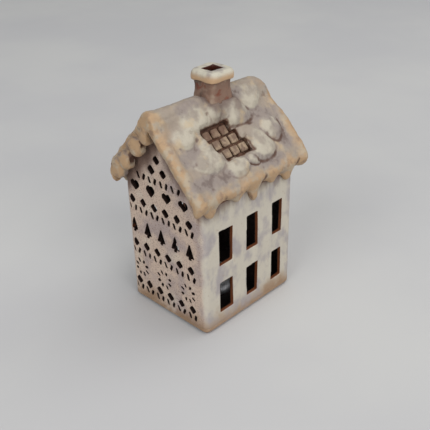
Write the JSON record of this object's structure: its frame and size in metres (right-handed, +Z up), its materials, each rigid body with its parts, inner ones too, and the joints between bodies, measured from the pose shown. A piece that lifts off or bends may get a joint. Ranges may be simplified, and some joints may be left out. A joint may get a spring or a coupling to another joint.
{
  "type": "tealight house",
  "caption": "Pierced ceramic candle house with windowed walls, a steep snow-covered roof and a chimney, set down over a lit tealight through a hole in its floor.",
  "frame": {"origin": "middle of the foot of the house, on the table, at the middle of the hole in the floor", "axes": "+Z up, -Y out of the pierced front gable, +X out of the right-hand windowed wall"},
  "size_m": [0.106, 0.13, 0.2016],
  "materials": {
    "bare_clay": "matt bare fired clay",
    "washed_clay": "matt pale wash over clay",
    "brown_clay": "matt brown stain",
    "snow_clay": "satin cream wash with grey smudges",
    "peach_clay": "satin peach wash",
    "tile_clay": "matt tan-grey wash",
    "cup_aluminium": "drawn bright foil",
    "wax": "translucent white paraffin wax",
    "sustainer_tin": "tinned sheet",
    "wick_cotton": "waxed cotton braid"
  },
  "bodies": {
    "house": {"floor_slab": "bare_clay", "front_gable": "washed_clay", "rear_gable": "washed_clay", "left_wall": "washed_clay", "right_wall": "washed_clay", "left_roof_slab": "brown_clay", "right_roof_slab": "brown_clay", "left_snow": "snow_clay", "right_snow": "snow_clay", "left_eave": "snow_clay", "right_eave": "snow_clay", "front_left_verge": "peach_clay", "front_right_verge": "peach_clay", "rear_left_verge": "peach_clay", "rear_right_verge": "peach_clay", "roof_tiles": "tile_clay", "chimney": "brown_clay", "chimney_snow": "snow_clay"},
    "tealight": {"tealight_cup": "cup_aluminium", "tealight_wax": "wax", "wick_sustainer": "sustainer_tin", "wick": "wick_cotton"}
  },
  "joints": [
    {"name": "house_lift", "type": "slide", "parent": "tealight", "child": "house", "axis": [0, 0, 1], "range_m": [0, 0.05]}
  ]
}
